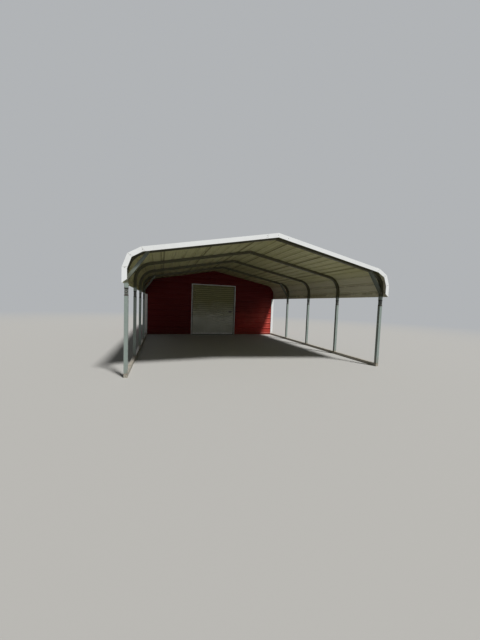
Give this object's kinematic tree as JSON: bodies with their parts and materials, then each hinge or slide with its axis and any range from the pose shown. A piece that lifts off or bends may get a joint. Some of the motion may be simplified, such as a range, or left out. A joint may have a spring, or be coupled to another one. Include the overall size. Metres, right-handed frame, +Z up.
{
  "type": "metal carport with storage room",
  "caption": "Open carport on bent square-tube bows with a ribbed metal roof, and an enclosed storage room with a roll-up door behind the open bays.",
  "frame": {"origin": "on the ground, in the middle of the overall box", "axes": "+Z up, the open end faces -Y and the storage room is at +Y, +X to the right seen from the open end"},
  "size_m": [5.5352, 9.4652, 2.7296],
  "materials": {
    "galvanised_tube": "dull galvanised",
    "roof_sheet": "white coil coat, satin",
    "white_trim": "white coil coat, satin",
    "red_siding": "barn red coil coat, satin",
    "door_curtain": "off-white coat, satin",
    "bare_steel": "zinc plated, weathered",
    "black_rubber": "matt"
  },
  "bodies": {
    "root": {"bow_1": "galvanised_tube", "bow_2": "galvanised_tube", "bow_3": "galvanised_tube", "bow_4": "galvanised_tube", "bow_5": "galvanised_tube", "bow_6": "galvanised_tube", "bow_7": "galvanised_tube", "leg_left_1": "galvanised_tube", "leg_left_2": "galvanised_tube", "leg_left_3": "galvanised_tube", "leg_left_4": "galvanised_tube", "storage_legs_left": "galvanised_tube", "base_rail_left": "galvanised_tube", "knee_braces_left": "galvanised_tube", "roof_panel_left_upper": "roof_sheet", "roof_panel_left_middle": "roof_sheet", "roof_panel_left_lower": "roof_sheet", "front_trim_left": "white_trim", "rear_trim_left": "white_trim", "storage_front_wall_left": "red_siding", "storage_left_wall": "red_siding", "leg_right_1": "galvanised_tube", "leg_right_2": "galvanised_tube", "leg_right_3": "galvanised_tube", "leg_right_4": "galvanised_tube", "storage_legs_right": "galvanised_tube", "base_rail_right": "galvanised_tube", "knee_braces_right": "galvanised_tube", "roof_panel_right_upper": "roof_sheet", "roof_panel_right_middle": "roof_sheet", "roof_panel_right_lower": "roof_sheet", "front_trim_right": "white_trim", "rear_trim_right": "white_trim", "storage_front_wall_right": "red_siding", "storage_right_wall": "red_siding", "storage_base_rails": "galvanised_tube", "storage_wall_posts": "galvanised_tube", "door_framing": "galvanised_tube", "roof_panel_ridge": "roof_sheet", "storage_front_wall_over_door": "red_siding", "storage_rear_wall": "red_siding", "storage_corner_trims": "white_trim", "door_trim": "white_trim", "door_guides": "bare_steel", "door_curtain": "door_curtain", "door_bottom_bar": "bare_steel", "door_seal": "black_rubber", "door_latch": "bare_steel"}
  },
  "joints": []
}
